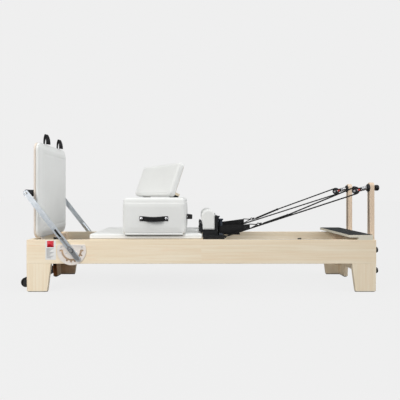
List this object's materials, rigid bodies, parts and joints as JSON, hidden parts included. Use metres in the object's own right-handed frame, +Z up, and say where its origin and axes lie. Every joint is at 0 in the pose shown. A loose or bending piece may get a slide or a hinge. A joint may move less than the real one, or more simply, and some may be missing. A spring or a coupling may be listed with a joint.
{
  "type": "pilates reformer",
  "caption": "Timber bed frame with a sprung sliding carriage, pivoting footbar, upright jump board, shoulder rests, rope pulleys on riser posts, sitting box and standing platform.",
  "frame": {"origin": "on the floor at the middle of the frame, under the centre of the whole object", "axes": "+X along the bed from the foot end (jump board, footbar) to the head end (risers), +Y to the far side, +Z up"},
  "size_m": [2.544, 0.7478, 1.1103],
  "materials": {
    "maple": "clear satin lacquered maple",
    "birch_ply": "clear lacquered plywood",
    "rubber_black": "matt moulded rubber",
    "bolt_steel": "zinc plated steel",
    "track_aluminium": "clear anodised extrusion",
    "chassis_steel": "black powder coat",
    "plate_steel": "brushed stainless plate",
    "arm_steel": "satin chromed steel",
    "foam_grip": "closed cell foam sleeve",
    "black_plastic": "fine textured moulding",
    "wheel_nylon": "turned nylon",
    "sheave_nylon": "turned grey nylon",
    "transport_tyre": "solid rubber tyre on a grey hub",
    "spring_steel": "nickel plated spring wire",
    "webbing": "black woven webbing",
    "rope": "black braided cord",
    "black_steel": "black plated steel",
    "white_vinyl": "off-white grained upholstery vinyl",
    "black_vinyl": "black grained upholstery vinyl"
  },
  "bodies": {
    "frame": {"side_rails": "maple", "foot_end_board": "maple", "head_end_panel": "maple", "legs": "maple", "foot_pads": "rubber_black", "corner_blocks": "birch_ply", "frame_bolts": "bolt_steel", "tracks": "track_aluminium", "spring_bar": "chassis_steel", "track_stops": "rubber_black", "index_plates": "plate_steel", "pivot_bolts": "bolt_steel", "riser_posts": "maple", "riser_washers": "black_plastic", "pulley_knobs": "black_plastic", "pulley_eyebolts": "bolt_steel", "jump_board_brackets": "chassis_steel", "transport_wheel_brackets": "chassis_steel", "springs": "spring_steel", "ropes": "rope"},
    "footbar": {"footbar_arms": "arm_steel", "footbar_grip": "foam_grip"},
    "lock_near": {"lock_slider_near": "arm_steel"},
    "lock_far": {"lock_slider_far": "arm_steel"},
    "jump_board": {"jump_board_panel": "birch_ply", "jump_board_pad": "white_vinyl", "jump_board_straps": "webbing"},
    "carriage": {"carriage_board": "birch_ply", "carriage_pad": "white_vinyl", "carriage_chassis": "chassis_steel", "head_deck": "black_plastic", "strap_pegs": "black_plastic", "strap_loops": "webbing", "strap_rings": "black_steel", "snap_hooks": "black_steel"},
    "foot_wheel_pair": {"foot_wheels": "wheel_nylon"},
    "head_wheel_pair": {"head_wheels": "wheel_nylon"},
    "headrest": {"headrest_board": "black_plastic", "headrest_pad": "black_vinyl"},
    "shoulder_rest_near": {"shoulder_cradle_near": "black_plastic", "shoulder_pad_near": "white_vinyl"},
    "shoulder_rest_far": {"shoulder_cradle_far": "black_plastic", "shoulder_pad_far": "white_vinyl"},
    "box": {"box_core": "birch_ply", "box_cover": "white_vinyl", "box_handles": "webbing"},
    "extender": {"extender_board": "birch_ply", "extender_pad": "white_vinyl"},
    "platform": {"platform_board": "birch_ply", "platform_grip": "rubber_black"},
    "pulley_near": {"pulley_block_near": "black_plastic"},
    "pulley_far": {"pulley_block_far": "black_plastic"},
    "sheave_near": {"pulley_sheave_near": "sheave_nylon"},
    "sheave_far": {"pulley_sheave_far": "sheave_nylon"},
    "knob_low_near": {"clamp_knob_low_near": "black_plastic"},
    "knob_low_far": {"clamp_knob_low_far": "black_plastic"},
    "knob_high_near": {"clamp_knob_high_near": "black_plastic"},
    "knob_high_far": {"clamp_knob_high_far": "black_plastic"},
    "roller_near": {"transport_wheel_near": "transport_tyre"},
    "roller_far": {"transport_wheel_far": "transport_tyre"}
  },
  "joints": [
    {"name": "carriage_slide", "type": "slide", "parent": "frame", "child": "carriage", "axis": [1, 0, 0], "range_m": [0, 0.7], "deforming": ["springs", "ropes"]},
    {"name": "foot_wheels_spin", "type": "hinge", "parent": "carriage", "child": "foot_wheel_pair", "pos_m": [-0.69, 0, 0.315], "axis": [0, 1, 0], "range_deg": [-5, 1550]},
    {"name": "head_wheels_spin", "type": "hinge", "parent": "carriage", "child": "head_wheel_pair", "pos_m": [0.08, 0, 0.315], "axis": [0, 1, 0], "range_deg": [-5, 1550]},
    {"name": "footbar_hinge", "type": "hinge", "parent": "frame", "child": "footbar", "pos_m": [-0.89, 0, 0.285], "axis": [0, 1, 0], "range_deg": [-52, 0]},
    {"name": "lock_near_slide", "type": "slide", "parent": "footbar", "child": "lock_near", "axis": [-0.6157, 0, 0.788], "range_m": [-0.012, 0]},
    {"name": "lock_far_slide", "type": "slide", "parent": "footbar", "child": "lock_far", "axis": [-0.6157, 0, 0.788], "range_m": [-0.012, 0]},
    {"name": "jump_board_lift", "type": "slide", "parent": "frame", "child": "jump_board", "axis": [0, 0, 1], "range_m": [0, 0.25]},
    {"name": "headrest_hinge", "type": "hinge", "parent": "carriage", "child": "headrest", "pos_m": [0.02, 0, 0.374], "axis": [0, -1, 0], "range_deg": [0, 35]},
    {"name": "shoulder_near_lift", "type": "slide", "parent": "carriage", "child": "shoulder_rest_near", "axis": [0, 0, 1], "range_m": [0, 0.12]},
    {"name": "shoulder_far_lift", "type": "slide", "parent": "carriage", "child": "shoulder_rest_far", "axis": [0, 0, 1], "range_m": [0, 0.12]},
    {"name": "box_lift", "type": "slide", "parent": "carriage", "child": "box", "axis": [0, 0, 1], "range_m": [0, 0.25]},
    {"name": "extender_lift", "type": "slide", "parent": "box", "child": "extender", "axis": [0, 0, 1], "range_m": [0, 0.15]},
    {"name": "platform_lift", "type": "slide", "parent": "frame", "child": "platform", "axis": [0, 0, 1], "range_m": [0, 0.12]},
    {"name": "pulley_near_swivel", "type": "hinge", "parent": "frame", "child": "pulley_near", "pos_m": [1.186, -0.215, 0.718], "axis": [-0.9703, 0, -0.2419], "range_deg": [-15, 15]},
    {"name": "sheave_near_spin", "type": "hinge", "parent": "pulley_near", "child": "sheave_near", "pos_m": [1.10644, -0.215, 0.69816], "axis": [0, 1, 0], "continuous": true},
    {"name": "pulley_far_swivel", "type": "hinge", "parent": "frame", "child": "pulley_far", "pos_m": [1.186, 0.215, 0.718], "axis": [-0.9703, 0, -0.2419], "range_deg": [-15, 15]},
    {"name": "sheave_far_spin", "type": "hinge", "parent": "pulley_far", "child": "sheave_far", "pos_m": [1.10644, 0.215, 0.69816], "axis": [0, 1, 0], "continuous": true},
    {"name": "knob_low_near_turn", "type": "hinge", "parent": "frame", "child": "knob_low_near", "pos_m": [1.227, -0.215, 0.128], "axis": [1, 0, 0], "continuous": true},
    {"name": "knob_low_far_turn", "type": "hinge", "parent": "frame", "child": "knob_low_far", "pos_m": [1.227, 0.215, 0.128], "axis": [1, 0, 0], "continuous": true},
    {"name": "knob_high_near_turn", "type": "hinge", "parent": "frame", "child": "knob_high_near", "pos_m": [1.227, -0.215, 0.274], "axis": [1, 0, 0], "continuous": true},
    {"name": "knob_high_far_turn", "type": "hinge", "parent": "frame", "child": "knob_high_far", "pos_m": [1.227, 0.215, 0.274], "axis": [1, 0, 0], "continuous": true},
    {"name": "roller_near_spin", "type": "hinge", "parent": "frame", "child": "roller_near", "pos_m": [-1.238, -0.25, 0.05], "axis": [0, 1, 0], "continuous": true},
    {"name": "roller_far_spin", "type": "hinge", "parent": "frame", "child": "roller_far", "pos_m": [-1.238, 0.25, 0.05], "axis": [0, 1, 0], "continuous": true}
  ],
  "couplings": [
    {"joint": "foot_wheels_spin", "follows": "carriage_slide", "rad_per_m": 38.462},
    {"joint": "head_wheels_spin", "follows": "carriage_slide", "rad_per_m": 38.462}
  ]
}
